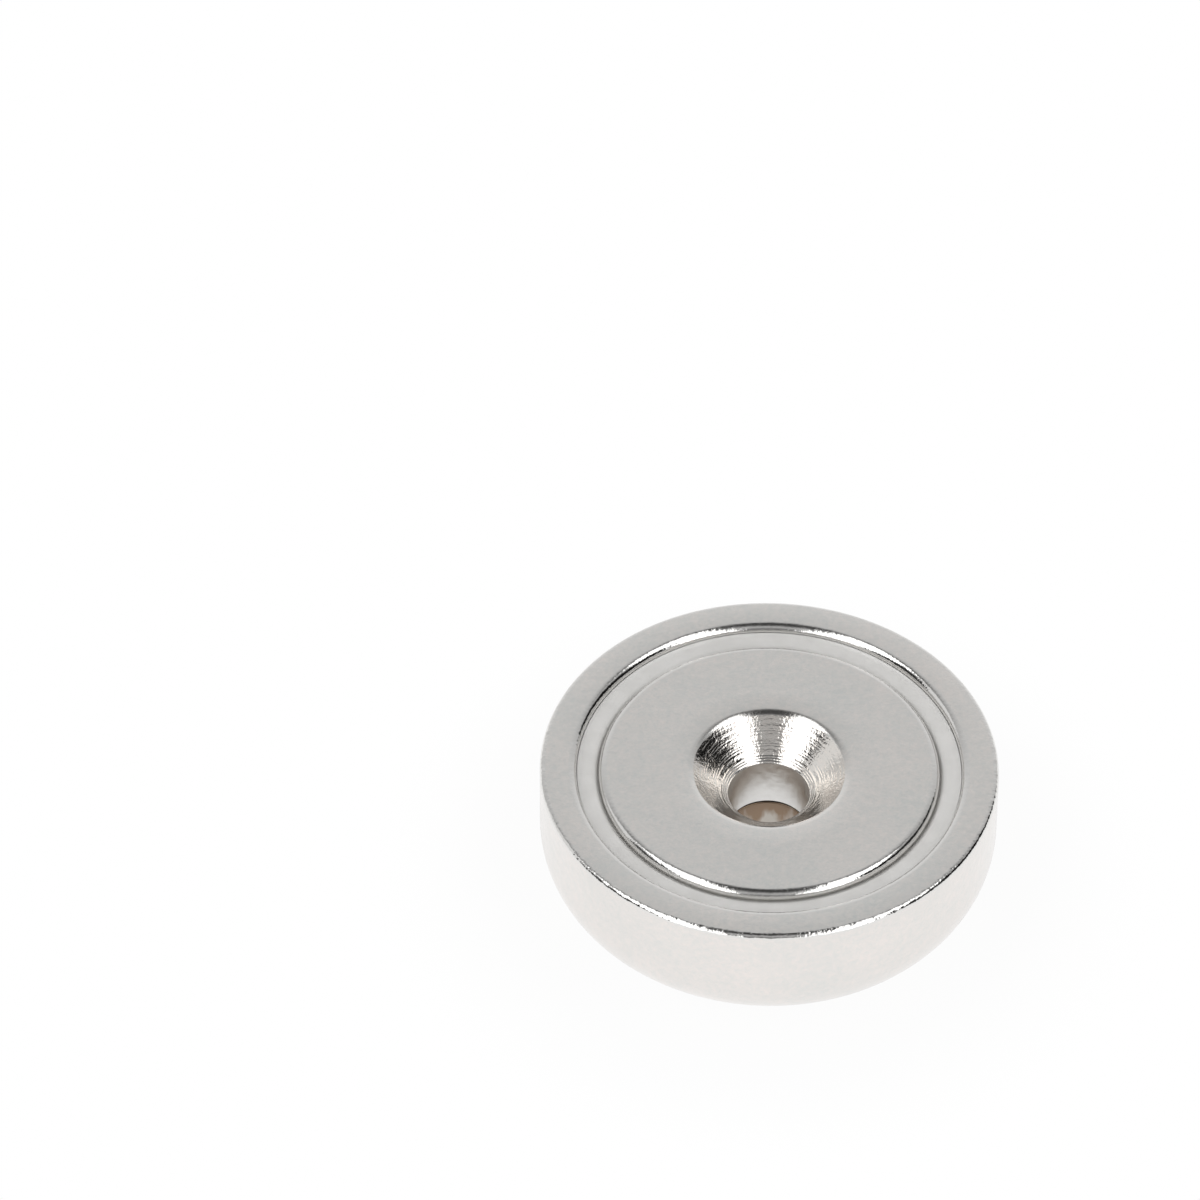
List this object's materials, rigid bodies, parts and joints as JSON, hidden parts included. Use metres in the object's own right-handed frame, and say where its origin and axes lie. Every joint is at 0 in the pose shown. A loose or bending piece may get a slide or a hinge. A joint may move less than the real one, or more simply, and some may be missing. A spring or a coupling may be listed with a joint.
{
  "type": "pot magnet",
  "caption": "Round pot magnet: a ring magnet bonded flush into a drawn steel cup, with a countersunk through hole for a fixing screw.",
  "frame": {"origin": "centre of the cup's flat back, on the screw hole's axis", "axes": "+Z along the screw hole's axis, out of the magnet's pulling face; X and Y are free, as the part is round"},
  "size_m": [0.025, 0.025, 0.008],
  "materials": {
    "cup_plating": "satin",
    "magnet_plating": "satin",
    "resin": "gloss"
  },
  "bodies": {
    "root": {"steel_cup": "cup_plating", "ring_magnet": "magnet_plating", "resin_fill": "resin"}
  },
  "joints": []
}
